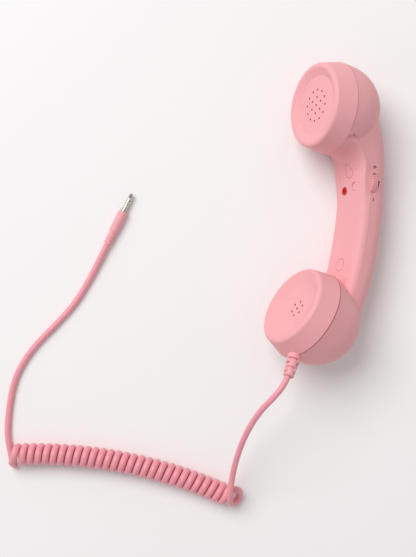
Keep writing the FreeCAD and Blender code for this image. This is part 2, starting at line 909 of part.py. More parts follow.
def volume_wheel():
    disc = post("wheel_disc", -S.wheel_x, wheel_y, wheel_back, -S.wheel_front, S.wheel_radius)
    ribs = []
    count = 32
    for number in range(count):
        turn = Placement(Vector(0, 0, 0), Rotation(Vector(0, 0, 1), 360 * number / count))
        place = at(-S.wheel_x, wheel_y, wheel_back) * turn * at(S.wheel_radius - 0.2, 0, 0)
        ribs.append(block(f"wheel_rib_{number}", S.wheel_knurl * 2 + 0.4, 0.9, S.wheel_thickness, place))
    bowl = post("wheel_bowl", -S.wheel_x, wheel_y, wheel_floor, -S.wheel_front + 1, S.pot_radius + 0.4)
    eye = post("wheel_eye", -S.wheel_x, wheel_y, wheel_back - 1, wheel_floor + 1, S.pot_shaft_radius + 0.01)
    return cut("wheel_form", fuse("wheel_ribbed", [disc] + ribs), [bowl, eye])


def volume_pot():
    body = post("pot_body", -S.wheel_x, wheel_y, wheel_floor + 0.2, -S.board_back, S.pot_radius)
    eye = post("pot_eye", -S.wheel_x, wheel_y, wheel_floor - 1, shaft_end + 0.1,
               S.pot_shaft_radius + S.running_fit)
    return cut("pot_form", body, [eye])


def pot_shaft():
    """The shaft that the wheel is screwed to, and that turns with it in the potentiometer."""
    shaft = post("shaft_form", -S.wheel_x, wheel_y, wheel_back, shaft_end, S.pot_shaft_radius)
    pilot = post("shaft_pilot", -S.wheel_x, wheel_y, wheel_back - 1, wheel_back + 2.4,
                 S.small_shank_radius + S.screw_fit)
    return cut("shaft_drilled", shaft, [pilot])


def wheel_screw():
    return small_screw("wheel_screw_form", 2.2, at(-S.wheel_x, wheel_y, wheel_back) * UPSIDE_DOWN)


# Speaker behind the ear face

gasket_back = disc_back - S.gasket_thickness
flange_back = gasket_back - S.speaker_flange
basket_back = gasket_back - S.speaker_depth
cone_edge = S.speaker_radius - 3


def speaker_gasket():
    return revolve(new_body("gasket_form"), [
        (cone_edge, gasket_back),
        (S.speaker_radius, gasket_back),
        (S.speaker_radius, disc_back),
        (cone_edge, disc_back),
    ])


def speaker_frame():
    return revolve(new_body("frame_form"), [
        (cone_edge, gasket_back),
        (cone_edge - 4, basket_back + 1),
        (0, basket_back + 1),
        (0, basket_back),
        (cone_edge - 3.2, basket_back),
        (cone_edge + 0.8, flange_back),
        (S.speaker_radius, flange_back),
        (S.speaker_radius, gasket_back),
    ])


def speaker_diaphragm():
    """A shallow cone with a dust dome, glued to the inside of the basket."""
    slant = as_size(4) / (gasket_back - basket_back - 1)
    return revolve(new_body("diaphragm_form"), [
        (cone_edge - slant * 0.9, gasket_back - 0.9),
        (cone_edge - slant * 0.3, gasket_back - 0.3),
        (4, gasket_back - 3),
        (0, gasket_back - 2),
        (0, gasket_back - 2.8),
        (4, gasket_back - 3.8),
    ])


def speaker_magnet():
    return post("magnet_form", 0, 0, basket_back - S.magnet_depth, basket_back, S.magnet_radius)


def clamp_places():
    return [(angle, on_circle(S.clamp_circle, angle, flange_back - S.clamp_thickness)
             * Placement(Vector(0, 0, 0), Rotation(Vector(0, 0, 1), angle))) for angle in CLAMP_ANGLES]


def speaker_clamps():
    clamps = []
    for angle, place in clamp_places():
        plate = block(f"clamp_plate_{angle}", 7, 5, S.clamp_thickness, place * at(-1.5, 0, 0))
        hole = cylinder(f"clamp_hole_{angle}", S.small_shank_radius + 0.1, 3, place * at(0, 0, -1))
        clamps.append(cut(f"clamp_{angle}", plate, [hole]))
    return group("clamp_set", clamps)


def speaker_screws():
    return group("clamp_screw_set", [small_screw(f"clamp_screw_{angle}", S.clamp_thickness + 2.6, place * UPSIDE_DOWN)
                                     for angle, place in clamp_places()])


# Microphone in the mouth cap


def microphone_boot():
    low = dish_back - S.capsule_depth - 1.2
    body = revolve(new_body("mic_boot_form"), [
        (S.mic_boot_radius, low),
        (S.mic_boot_radius, dish_back),
        (S.capsule_radius + S.screw_fit, dish_back),
        (S.capsule_radius + S.screw_fit, low + 1),
        (1.6, low + 1),
        (1.6, low),
    ])
    body.Placement = mouth_frame
    return body


def microphone_capsule():
    return cylinder("capsule_form", S.capsule_radius, S.capsule_depth,
                    mouth_frame * at(0, 0, dish_back - S.capsule_depth - 0.2))


# Strain relief and the tie that holds the cord in it


def strain_relief():
    """A ribbed boot along the outlet's own axis, with a flange inside the shell."""
    bore = S.cord_radius + S.cord_fit
    ribs_from = boot_seat + S.boot_band
    pitch = (S.boot_length - S.boot_band) / S.boot_ribs
    taper = (S.boot_base_radius - S.boot_tip_radius) / S.boot_ribs
    corners = [
        (bore, flange_from),
        (S.boot_flange_radius, flange_from),
        (S.boot_flange_radius, neck_from),
        (S.boot_neck_radius, neck_from),
        (S.boot_neck_radius, boot_seat),
        (S.boot_base_radius, boot_seat),
        (S.boot_base_radius, ribs_from),
    ]
    for number in range(int(S.boot_ribs.value)):
        low = ribs_from + pitch * number
        edge = S.boot_base_radius - taper * (number + 1)
        corners += [
            (S.boot_neck_radius - S.rib_groove, low),
            (S.boot_neck_radius - S.rib_groove, low + pitch * 0.4),
            (edge, low + pitch * 0.4),
            (edge, low + pitch),
        ]
    corners.append((bore, boot_seat + S.boot_length))
    body = revolve(new_body("boot_form"), corners)
    body.Placement = outlet_frame
    return body


def cord_tie():
    body = revolve(new_body("tie_form"), [
        (S.cord_radius + S.cord_fit, tie_from),
        (S.cord_radius + S.tie_wall, tie_from),
        (S.cord_radius + S.tie_wall, flange_from),
        (S.cord_radius + S.cord_fit, flange_from),
    ])
    body.Placement = outlet_frame
    return body


def cord_inner_end():
    """The end of the cord inside the strain relief and the tie."""
    return cylinder("inner_end_form", S.cord_radius, cord_break - cord_from,
                    outlet_frame * at(0, 0, cord_from))


# The order of the sub-parts in the handset

HANDSET = (
    ("rear_shell", rear_shell),
    ("front_cover", front_cover),
    ("mouth_cap", mouth_cap),
    ("upper_screw_plug", lambda: screw_plug(*SCREWS[0])),
    ("lower_screw_plug", lambda: screw_plug(*SCREWS[1])),
    ("case_screws", case_screws),
    ("call_button", call_button),
    ("call_switch", call_switch),
    ("indicator_lens", indicator_lens),
    ("indicator_led", indicator_led),
    ("circuit_board", circuit_board),
    ("board_screws", board_screws),
    ("volume_wheel", volume_wheel),
    ("volume_pot", volume_pot),
    ("pot_shaft", pot_shaft),
    ("wheel_screw", wheel_screw),
    ("speaker_gasket", speaker_gasket),
    ("speaker_frame", speaker_frame),
    ("speaker_diaphragm", speaker_diaphragm),
    ("speaker_magnet", speaker_magnet),
    ("speaker_clamps", speaker_clamps),
    ("speaker_screws", speaker_screws),
    ("microphone_boot", microphone_boot),
    ("microphone_capsule", microphone_capsule),
    ("strain_relief", strain_relief),
    ("cord_tie", cord_tie),
    ("cord_inner_end", cord_inner_end),
)
doc.recompute()
pieces = {label: make() for label, make in HANDSET}
doc.recompute()


# Lying down: on the side of the grip's back and of both heads, with the long axis along +Y

lay_turn = (
    Rotation(Vector(1, 0, 0), S.lay_pitch.value)
    * Rotation(Vector(0, 1, 0), S.lay_roll.value - 90)
    * Rotation(Vector(0, 0, 1), 90)
)


def lying_place():
    """The place that centres the lying handset on the origin, with its lowest point on the table."""
    box = FreeCAD.BoundBox()
    for item in pieces.values():
        turned = item.Shape.copy()
        turned.Placement = Placement(Vector(0, 0, 0), lay_turn) * turned.Placement
        box.add(turned.optimalBoundingBox(False))
    return Placement(Vector(-box.Center.x, -box.Center.y, -box.ZMin), lay_turn)


lay = lying_place()


# Tubes: straight runs joined by tangent arcs


def arc_through(start, corner, end):
    """The arc tangent to both runs that leave a corner, for points at one distance from it."""
    middle = (start + end) / 2
    half = (end - start).Length / 2
    lean = (corner - start).getAngle(end - start)
    towards = (corner - middle).normalize()
    return Part.Arc(start, middle + towards * half * math.tan(lean / 2), end).toShape()


def route(points):
    """Edges along the points, and the tightest bend among them."""
    edges = []
    tightest = math.inf
    last = points[0]
    for before, corner, after in zip(points, points[1:], points[2:]):
        back = before - corner
        ahead = after - corner
        trim = 0.45 * min(back.Length, ahead.Length)
        half_turn = (math.pi - back.getAngle(ahead)) / 2
        tightest = min(tightest, trim / math.tan(half_turn))
        start = corner + back.normalize() * trim
        end = corner + ahead.normalize() * trim
        edges.append(Part.makeLine(last, start))
        edges.append(arc_through(start, corner, end))
        last = end
    edges.append(Part.makeLine(last, points[-1]))
    return edges, tightest


def section(centre, along, radius, sides):
    """A round or, with sides, a regular many-cornered outline square to a direction."""
    if not sides:
        return Part.Wire([Part.makeCircle(radius, centre, along)])
    turn = Rotation(Vector(0, 0, 1), along)
    corners = []
    for number in range(sides + 1):
        angle = 2 * math.pi * number / sides
        corners.append(centre + turn.multVec(Vector(radius * math.cos(angle), radius * math.sin(angle), 0)))
    return Part.makePolygon(corners)


def tube(label, edges, along, radius, sides=0):
    """One unbroken tube along edges that join smoothly."""
    spine = Part.Wire(edges)
    outline = section(edges[0].Vertexes[0].Point, along, radius, sides)
    item = doc.addObject("Part::Feature", label)
    item.Shape = spine.makePipeShell([outline], True, False)
    area = Part.Face(outline).Area
    print(f"{label}: length {spine.Length:.1f}, volume {item.Shape.Volume:.1f}, "
          f"section x length {area * spine.Length:.1f}")
    return item


def routed_tube(label, points, radius, sides=0):
    edges, tightest = route(points)
    print(f"{label}: tightest bend {tightest:.1f}")
    return tube(label, edges, points[1] - points[0], radius, sides)


# Leads inside the handset, each a flat pair drawn as one strand


def lead(label, points):
    return routed_tube(label, [lay.multVec(point) for point in points], S.lead_radius.value, 6)


board_under = -S.board_back.value
capsule_back = (dish_back - S.capsule_depth - 0.2).value
speaker_leads = lead("speaker_leads", [
    Vector(-10.4, 3, basket_back.value),
    Vector(-10.4, 3, -8),
    Vector(-22, 4, -24),
    Vector(-36, 6, -30.5),
    Vector(-49, 6, -32),
    Vector(-56, 6, board_under - 5),
    Vector(-56, 6, board_under),
])
microphone_leads = lead("microphone_leads", [
    mouth_frame.multVec(Vector(0, 0, capsule_back)),
    mouth_frame.multVec(Vector(0, 0, -10)),
    Vector(-138, 4, -20),
    Vector(-122, 7, -28),
    Vector(-104, 8, -31),
    Vector(-92, 8, -32),
    Vector(-82, 8, board_under - 5),
    Vector(-82, 8, board_under),
])
cord_leads = lead("cord_leads", [
    outlet_frame.multVec(Vector(0, 0, cord_from.value)),
    outlet_frame.multVec(Vector(0, 0, cord_from.value - 9)),
    mouth_frame.multVec(Vector(-9, -6, -12)),
    Vector(-130, -7, -26),
    Vector(-112, -8, -31),
    Vector(-96, -8, -32),
    Vector(-82, -8, board_under - 5),
    Vector(-82, -8, board_under),
])


# Curly stretch: a left-handed helix about a shallow arc, from its top at the handset's end
# to the table at the plug's end

coil_level = S.coil_radius.value + S.cord_radius.value + 0.03
coil_right = Vector(S.coil_right_x.value, S.coil_right_y.value, coil_level)
coil_left = Vector(S.coil_left_x.value, S.coil_left_y.value, coil_right.z)
coil_chord = coil_left - coil_right
coil_out = Vector(coil_chord.y, -coil_chord.x, 0).normalize()
bow_radius = (coil_chord.Length ** 2 / 4 + S.coil_bow.value ** 2) / (2 * S.coil_bow.value)
bow_centre = (coil_right + coil_left) / 2 - coil_out * (bow_radius - S.coil_bow.value)
bow_half_angle = math.asin(coil_chord.Length / 2 / bow_radius)


def coil_point(turns):
    """The middle of the wire after so many turns."""
    swing = bow_half_angle * (2 * turns / S.coil_turns.value - 1)
    out = coil_out * math.cos(swing) + coil_chord.normalize() * math.sin(swing)
    angle = 2 * math.pi * turns
    aside = Vector(0, 0, math.cos(angle)) - out * math.sin(angle)
    return bow_centre + out * bow_radius + aside * S.coil_radius.value


def coil_heading(turns):
    step = 1e-4
    return (coil_point(turns + step) - coil_point(turns - step)).normalize()


def biarc(start, start_heading, end, end_heading):
    """Two arcs that leave start and reach end along the given headings and meet tangent to each other."""
    span = end - start
    headings = start_heading + end_heading
    opening = 2 * (1 - start_heading.dot(end_heading))
    pull = span.dot(headings)
    reach = (math.sqrt(pull ** 2 + opening * span.dot(span)) - pull) / opening
    near = start + start_heading * reach
    far = end - end_heading * reach
    joint = (near + far) / 2
    return [arc_through(start, near, joint), arc_through(joint, far, end)]


def coil_edges():
    halves = int(S.coil_turns.value * 2)
    stops = [number / 2 for number in range(halves + 1)]
    edges = [Part.makeLine(coil_start, coil_point(0))]
    for here, there in zip(stops, stops[1:]):
        edges += biarc(coil_point(here), coil_heading(here), coil_point(there), coil_heading(there))
    edges.append(Part.makeLine(coil_point(stops[-1]), coil_end))
    return edges


def least_gap():
    """The least distance between the wires of neighbouring turns, from points along the coil."""
    count = 48
    points = [coil_point(number / count) for number in range(int(S.coil_turns.value * count) + 1)]
    nearest = math.inf
    for number, point in enumerate(points):
        for other in points[number + count // 2:number + 2 * count]:
            nearest = min(nearest, (point - other).Length)
    return nearest - 2 * S.cord_radius.value


coil_start = coil_point(0) - coil_heading(0) * S.coil_end_run.value
coil_end = coil_point(S.coil_turns.value) + coil_heading(S.coil_turns.value) * S.coil_end_run.value
cord_coil = tube("cord_coil", coil_edges(), coil_heading(0), S.cord_radius.value, 6)
print(f"cord_coil: least gap between turns {least_gap():.2f}")


# Plug, in a frame whose Z runs from the cord to the tip

jack_frame = Placement(
    Vector(S.jack_end_x.value, S.jack_end_y.value, S.jack_grip_radius.value),
    Rotation(Vector(0, 0, 1), -S.jack_turn.value) * Rotation(Vector(1, 0, 0), -90),
)
jack_body_end = S.jack_tail_length + S.jack_grip_length


def plug_boot():
    tail = S.jack_tail_radius
    corners = [(0, 0), (tail, 0), (tail, 1.3)]
    ribs = 3
    pitch = (S.jack_tail_length - 1.3) / ribs
    for number in range(ribs):
        low = 1.3 + pitch * number
        corners += [
            (tail - 0.6, low),
            (tail - 0.6, low + pitch * 0.45),
            (tail, low + pitch * 0.45),
            (tail, low + pitch),
        ]
    corners += [
        (S.jack_grip_radius, S.jack_tail_length),
        (S.jack_grip_radius, jack_body_end - 0.6),
        (S.jack_grip_radius - 0.6, jack_body_end),
        (0, jack_body_end),
    ]
    return revolve(new_body("jack_boot_form"), corners)


def pin_stretch(label, low, length):
    return cylinder(label, S.jack_pin_radius, length, at(0, 0, low))


def plug_sleeve():
    collar = cylinder("sleeve_collar", S.jack_collar_radius, S.jack_collar_height, at(0, 0, jack_body_end))
    return fuse("sleeve_form", [collar, pin_stretch("sleeve_pin", jack_body_end, S.jack_sleeve_length)])


band_one = jack_body_end + S.jack_sleeve_length
ring_two = band_one + S.jack_band_length
band_two = ring_two + S.jack_ring_length
ring_one = band_two + S.jack_band_length
band_three = ring_one + S.jack_ring_length
pin_tip = band_three + S.jack_band_length


def plug_insulators():
    bands = enumerate((band_one, band_two, band_three))
    rings = [pin_stretch(f"band_{number}", low, S.jack_band_length) for number, low in bands]
    return group("band_set", rings)


def plug_tip():
    """The tip: a short neck behind a blunt cone."""
    end = pin_tip + S.jack_tip_length
    return revolve(new_body("tip_form"), [
        (S.jack_pin_radius, pin_tip),
        (S.jack_pin_radius - 0.45, pin_tip + 0.9),
        (S.jack_pin_radius, pin_tip + 1.7),
        (S.jack_pin_radius * 0.45, end),
        (0, end),
        (0, pin_tip),
    ])


PLUG = (
    ("plug_boot", plug_boot),
    ("plug_sleeve", plug_sleeve),
    ("plug_ring_two", lambda: pin_stretch("ring_two_form", ring_two, S.jack_ring_length)),
    ("plug_ring_one", lambda: pin_stretch("ring_one_form", ring_one, S.jack_ring_length)),
    ("plug_tip", plug_tip),
    ("plug_insulators", plug_insulators),
)
plug_pieces = {label: make() for label, make in PLUG}


# Plain stretches of the cord

outlet = lay * outlet_frame
straight_out = cord_break.value + 17.5
cord_tail_handset = routed_tube("cord_tail_handset", [
    outlet.multVec(Vector(0, 0, cord_break.value)),
    outlet.multVec(Vector(0, 0, straight_out)),
    Vector(-29, -135, 51),
    Vector(-38, -153, 33),
    Vector(-41, -172, 19.5),
    coil_start - coil_heading(0) * 10,
    coil_start,
], S.cord_radius.value)
cord_level = S.cord_radius.value + 0.05
jack_end = jack_frame.Base
cord_tail_plug = routed_tube("cord_tail_plug", [
    coil_end,
    coil_end + coil_heading(S.coil_turns.value) * 9,
    Vector(-206.8, -163.5, cord_level),
    Vector(-209.4, -152.6, cord_level),
    Vector(-208.2, -138.2, cord_level),
    Vector(-203.9, -123.4, cord_level),
    Vector(-195.3, -108.2, cord_level),
    Vector(-182.7, -92.6, cord_level),
    Vector(-171.1, -77, cord_level),
    Vector(-163, -60.5, cord_level),
    jack_frame.multVec(Vector(0, 0, -10)),
    jack_end,
], S.cord_radius.value)

doc.recompute()
for label, item in pieces.items():
    node(label, item, lay * item.Placement)
for label, item in plug_pieces.items():
    node(label, item, jack_frame * item.Placement)
for item in (speaker_leads, microphone_leads, cord_leads, cord_tail_handset, cord_coil, cord_tail_plug):
    NODES.append(item)
print("ear seam centre", lay.Base)
print("outlet", outlet.Base, outlet.Rotation.multVec(Vector(0, 0, 1)))
for item in NODES:
    bad = {"Invalid", "Error"} & set(item.State)
    if bad or item.Shape.isNull() or not item.Shape.isValid():
        raise RuntimeError(f"{item.Label} did not build")
os.makedirs("parts", exist_ok=True)
for item in NODES:
    item.Shape.exportStep(f"parts/{item.Label}.step")
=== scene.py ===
import json
import math

import bmesh
import bpy
from mathutils import Matrix, Vector


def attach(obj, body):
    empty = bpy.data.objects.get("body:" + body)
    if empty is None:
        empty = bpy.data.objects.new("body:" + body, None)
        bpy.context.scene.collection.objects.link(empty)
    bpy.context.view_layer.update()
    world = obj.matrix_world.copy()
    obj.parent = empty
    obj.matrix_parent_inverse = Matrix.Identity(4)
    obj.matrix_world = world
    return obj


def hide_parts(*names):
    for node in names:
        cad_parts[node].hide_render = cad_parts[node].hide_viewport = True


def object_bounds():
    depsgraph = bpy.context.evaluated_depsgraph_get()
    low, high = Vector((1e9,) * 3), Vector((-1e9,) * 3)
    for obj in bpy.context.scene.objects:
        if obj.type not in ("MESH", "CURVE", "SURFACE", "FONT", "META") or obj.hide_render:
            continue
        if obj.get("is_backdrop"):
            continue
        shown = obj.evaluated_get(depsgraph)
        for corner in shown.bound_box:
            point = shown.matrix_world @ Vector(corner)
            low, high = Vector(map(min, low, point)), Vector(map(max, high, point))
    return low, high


# A pink telephone handset that lies on its side on a pale table, with a curly cord and a 3.5 mm plug.

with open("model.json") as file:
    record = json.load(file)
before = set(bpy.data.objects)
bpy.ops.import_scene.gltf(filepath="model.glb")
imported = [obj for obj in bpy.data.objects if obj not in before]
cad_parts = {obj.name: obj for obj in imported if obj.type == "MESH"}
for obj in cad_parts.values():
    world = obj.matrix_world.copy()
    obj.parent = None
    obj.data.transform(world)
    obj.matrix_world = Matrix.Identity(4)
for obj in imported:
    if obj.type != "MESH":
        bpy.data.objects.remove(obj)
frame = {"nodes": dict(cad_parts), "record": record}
cad_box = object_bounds()
nodes = frame["nodes"]

MM = 0.001

# The handset's own axes: the ear face looks along Z, and the mouthpiece lies on the far side of X

HOUSING = (
    Matrix.Translation((-7.372, 76.555, 32.409))
    @ Matrix.Rotation(math.radians(-0.3), 4, "X")
    @ Matrix.Rotation(math.radians(28 - 90), 4, "Y")
    @ Matrix.Rotation(math.radians(90), 4, "Z")
)
MOUTH = HOUSING @ Matrix.Translation((-142.4, 0, 1.4)) @ Matrix.Rotation(math.radians(23.9), 4, "Y")


def in_housing(x, y, z):
    return HOUSING @ Vector((x, y, z))


def axis_of(place):
    return place.to_3x3().col[2].normalized()


# Colours


def srgb(red, green, blue):
    """A colour written as on a screen, in the renderer's linear values."""
    def linear(part):
        part /= 255
        return part / 12.92 if part <= 0.04045 else ((part + 0.055) / 1.055) ** 2.4
    return (linear(red), linear(green), linear(blue), 1.0)


SHELL_PINK = srgb(243, 173, 178)
RUBBER_PINK = srgb(243, 170, 178)
CORD_PINK = srgb(243, 158, 170)
# Dark red of the joint lines, also used as painted shade inside the sound holes
SEAM_AND_SHADE_RED = srgb(164, 46, 56)
# Deep pink of the painted shade round the plugs, the button and the lens
EDGE_SHADE_PINK = srgb(188, 112, 118)
LENS_RED = srgb(206, 2, 24)
NICKEL = srgb(206, 200, 194)
ZINC = srgb(176, 176, 178)
BLACK = srgb(34, 33, 34)
WHITE = srgb(226, 222, 218)
BOARD_GREEN = srgb(40, 110, 62)
TABLE = srgb(250, 249, 249)


# Materials

FINE_GRAIN = 0.03 * MM
TURNING_MARKS = 0.01 * MM


class Look:
    """A material with its shader at hand and a few helpers to add nodes to it."""

    def __init__(self, name):
        self.material = bpy.data.materials.new(name)
        self.material.use_nodes = True
        self.tree = self.material.node_tree
        self.shader = self.tree.nodes["Principled BSDF"]

    def node(self, kind, **settings):
        item = self.tree.nodes.new(kind)
        for name, value in settings.items():
            setattr(item, name, value)
        return item

    def link(self, source, target):
        self.tree.links.new(source, target)

    def noise(self, scale, detail):
        place = self.node("ShaderNodeTexCoord")
        noise = self.node("ShaderNodeTexNoise")
        noise.inputs["Scale"].default_value = scale
        noise.inputs["Detail"].default_value = detail
        self.link(place.outputs["Object"], noise.inputs["Vector"])
        return noise.outputs["Fac"]

    def vary_colour(self, colour, darker, amount):
        """Drift a little from a colour to a darker shade of it over the surface."""
        ramp = self.node("ShaderNodeValToRGB")
        ramp.color_ramp.elements[0].position = 0.3
        ramp.color_ramp.elements[1].position = 0.7
        ramp.color_ramp.elements[0].color = [part * darker for part in colour[:3]] + [1]
        ramp.color_ramp.elements[1].color = colour
        self.link(amount, ramp.inputs["Fac"])
        self.paint(ramp.outputs["Color"])

    def paint(self, colour):
        self.colour = colour
        self.link(colour, self.shader.inputs["Base Color"])

    def calculate(self, kind, first, second):
        """One step of arithmetic on two values, each a socket or a number."""
        step = self.node("ShaderNodeMath", operation=kind)
        for socket, value in zip(step.inputs, (first, second)):
            if isinstance(value, (int, float)):
                socket.default_value = value
            else:
                self.link(value, socket)
        return step.outputs["Value"]

    def vector_step(self, kind, first, second):
        step = self.node("ShaderNodeVectorMath", operation=kind)
        self.link(first, step.inputs[0])
        step.inputs[1].default_value = second
        return step

    def from_axis(self, place):
        """Distance in metres from the Z axis of a frame, and height along it."""
        here = self.node("ShaderNodeTexCoord").outputs["Object"]
        offset = self.vector_step("SUBTRACT", here, place.translation * MM).outputs["Vector"]
        across = self.vector_step("CROSS_PRODUCT", offset, axis_of(place)).outputs["Vector"]
        length = self.node("ShaderNodeVectorMath", operation="LENGTH")
        self.link(across, length.inputs[0])
        height = self.vector_step("DOT_PRODUCT", offset, axis_of(place)).outputs["Value"]
        return length.outputs["Value"], height

    def tint(self, colour, strength, mask):
        """Lay a second colour over the first where a mask is one."""
        mix = self.node("ShaderNodeMix", data_type="RGBA")
        self.link(self.calculate("MULTIPLY", mask, strength), mix.inputs["Factor"])
        self.link(self.colour, mix.inputs["A"])
        mix.inputs["B"].default_value = colour
        self.paint(mix.outputs["Result"])

    def seam(self, place, reach, half_width, strength):
        """A dark joint line where a plane of the housing meets the surface, within a radius."""
        radius, height = self.from_axis(place)
        distance = self.calculate("ABSOLUTE", height, 0)
        near = self.calculate("LESS_THAN", distance, half_width * MM)
        inside = self.calculate("LESS_THAN", radius, reach * MM)
        self.tint(SEAM_AND_SHADE_RED, strength, self.calculate("MULTIPLY", near, inside))

    def edge_shade(self, place, from_radius, colour, strength):
        """Painted shade round a small round piece, where it sits in its hole."""
        radius, _ = self.from_axis(place)
        edge = self.calculate("GREATER_THAN", radius, from_radius * MM)
        self.tint(colour, strength, edge)

    def shade_holes(self, place, reach, level, strength):
        """Painted shade inside the sound holes, below the face that they go through."""
        radius, height = self.from_axis(place)
        below = self.calculate("LESS_THAN", height, level * MM)
        inside = self.calculate("LESS_THAN", radius, reach * MM)
        self.tint(SEAM_AND_SHADE_RED, strength, self.calculate("MULTIPLY", below, inside))

    def vary_roughness(self, low, high, amount):
        spread = self.node("ShaderNodeMapRange")
        spread.inputs["To Min"].default_value = low
        spread.inputs["To Max"].default_value = high
        self.link(amount, spread.inputs["Value"])
        self.link(spread.outputs["Result"], self.shader.inputs["Roughness"])

    def bump(self, height, depth, strength):
        bump = self.node("ShaderNodeBump")
        bump.inputs["Strength"].default_value = strength
        bump.inputs["Distance"].default_value = depth
        self.link(height, bump.inputs["Height"])
        self.link(bump.outputs["Normal"], self.shader.inputs["Normal"])


def soft_touch(name="soft_touch_pink"):
    """The velvet-like coat of the housing: matt, with a very fine grain."""
    look = Look(name)
    look.vary_colour(SHELL_PINK, 0.975, look.noise(60, 3))
    look.vary_roughness(0.46, 0.58, look.noise(900, 4))
    look.bump(look.noise(5200, 2), FINE_GRAIN, 0.25)
    look.shader.inputs["Specular IOR Level"].default_value = 0.35
    return look


# Joint lines: frame, reach, half width and strength. Painted shade in the sound holes: frame, reach,
# level and strength

EAR_SEAM = (HOUSING, 32.2, 0.4, 0.6)
MOUTH_SEAM = (MOUTH, 32.9, 0.34, 0.85)
EAR_HOLE_SHADE = (HOUSING, 13, 12.04, 0.85)
MOUTH_HOLE_SHADE = (MOUTH, 10.6, 9.34, 0.85)


def housing_look(name, seams=(), hole_shade=None):
    """The soft coat of a moulding, with its joint lines and painted shade in its holes."""
    look = soft_touch(name)
    if hole_shade:
        look.shade_holes(*hole_shade)
    for seam in seams:
        look.seam(*seam)
    return look.material


# Small round pieces in the panel: X, Y and the radius where the painted shade at the edge starts

UPPER_PLUG = (-40.7, 0, 4.1)
LOWER_PLUG = (-105.6, 0, 4.15)
CALL_BUTTON = (-51, -5.8, 2.6)
INDICATOR = (-54, 5.6, 2.35)
# Strength of the painted shade round the edges of the plugs, the button and the lens
STOPPER_EDGE_SHADE = 0.8
LENS_EDGE_SHADE = 0.9


# Paints shade round the edge of a small round piece, as if it lay in the gap round it
def shade_edge_of(look, piece, strength):
    x, y, from_radius = piece
    look.edge_shade(HOUSING @ Matrix.Translation((x, y, 0)), from_radius, EDGE_SHADE_PINK, strength)


def stopper_look(name, piece):
    look = soft_touch(name)
    shade_edge_of(look, piece, STOPPER_EDGE_SHADE)
    return look.material


def rubber(name, colour, low, high):
    look = Look(name)
    look.vary_colour(colour, 0.95, look.noise(220, 4))
    look.vary_roughness(low, high, look.noise(1400, 3))
    look.bump(look.noise(4200, 3), FINE_GRAIN, 0.3)
    return look.material


def red_lens():
    look = Look("red_lens")
    look.vary_colour(LENS_RED, 0.8, look.noise(700, 2))
    # Painted shade round the edge of the lens, where it sits in its hole
    shade_edge_of(look, INDICATOR, LENS_EDGE_SHADE)
    look.vary_roughness(0.2, 0.3, look.noise(1500, 2))
    look.shader.inputs["Specular IOR Level"].default_value = 0.05
    return look.material


def metal(name, colour, low, high):
    """Plated metal with fine turning marks and small stains."""
    look = Look(name)
    look.vary_colour(colour, 0.86, look.noise(500, 4))
    look.vary_roughness(low, high, look.noise(2600, 5))
    look.bump(look.noise(6000, 2), TURNING_MARKS, 0.2)
    look.shader.inputs["Metallic"].default_value = 1
    return look.material


def moulded(name, colour):
    look = Look(name)
    look.vary_colour(colour, 0.9, look.noise(300, 3))
    look.vary_roughness(0.4, 0.6, look.noise(1500, 3))
    look.bump(look.noise(3800, 2), FINE_GRAIN, 0.25)
    return look.material


LOOKS = {
    "shell_pink": soft_touch().material,
    "rubber_pink": rubber("rubber_pink", RUBBER_PINK, 0.42, 0.55),
    "cord_pink": rubber("cord_pink", CORD_PINK, 0.26, 0.38),
    "red_lens": red_lens(),
    "zinc": metal("zinc_plate", ZINC, 0.3, 0.45),
    "nickel": metal("nickel_plate", NICKEL, 0.16, 0.28),
    "aluminium": metal("drawn_aluminium", ZINC, 0.3, 0.5),
    "black_plastic": moulded("black_plastic", BLACK),
    "white_plastic": moulded("white_plastic", WHITE),
    "board_green": moulded("board_green", BOARD_GREEN),
    "foam": moulded("foam", BLACK),
}
NODE_LOOKS = {
    "rear_shell": housing_look("rear_shell_pink", seams=(EAR_SEAM, MOUTH_SEAM)),
    # The front cover and the mouth cap carry painted shade inside their sound holes
    "front_cover": housing_look("front_cover_pink", hole_shade=EAR_HOLE_SHADE),
    "mouth_cap": housing_look("mouth_cap_pink", seams=(MOUTH_SEAM,), hole_shade=MOUTH_HOLE_SHADE),
    # The plugs and the button carry painted shade round their edges
    "upper_screw_plug": stopper_look("upper_plug_pink", UPPER_PLUG),
    "lower_screw_plug": stopper_look("lower_plug_pink", LOWER_PLUG),
    "call_button": stopper_look("button_pink", CALL_BUTTON),
}


# CAD nodes: round faces are shaded smooth, and edges stay where the faces turn sharply

MERGE_DISTANCE = 0.002
SHARP_ANGLE = math.radians(24)


def smooth_group():
    """A modifier that joins the faces of a solid and shades it smooth up to a limit angle."""
    group = bpy.data.node_groups.new("smooth_solid", "GeometryNodeTree")
    group.interface.new_socket("Geometry", in_out="INPUT", socket_type="NodeSocketGeometry")
    group.interface.new_socket("Geometry", in_out="OUTPUT", socket_type="NodeSocketGeometry")
    source = group.nodes.new("NodeGroupInput")
    result = group.nodes.new("NodeGroupOutput")
    merge = group.nodes.new("GeometryNodeMergeByDistance")
    merge.inputs["Distance"].default_value = MERGE_DISTANCE * MM
    faces = group.nodes.new("GeometryNodeSetShadeSmooth")
    edges = group.nodes.new("GeometryNodeSetShadeSmooth")
    edges.domain = "EDGE"
    angle = group.nodes.new("GeometryNodeInputMeshEdgeAngle")
    limit = group.nodes.new("ShaderNodeMath")
    limit.operation = "GREATER_THAN"
    limit.inputs[1].default_value = SHARP_ANGLE
    group.links.new(source.outputs[0], merge.inputs["Geometry"])
    group.links.new(merge.outputs["Geometry"], faces.inputs["Geometry"])
    group.links.new(faces.outputs["Geometry"], edges.inputs["Geometry"])
    group.links.new(angle.outputs["Unsigned Angle"], limit.inputs[0])
    group.links.new(limit.outputs["Value"], edges.inputs["Selection"])
    edges.inputs["Shade Smooth"].default_value = False
    group.links.new(edges.outputs["Geometry"], result.inputs[0])
    return group


smooth_solid = smooth_group()


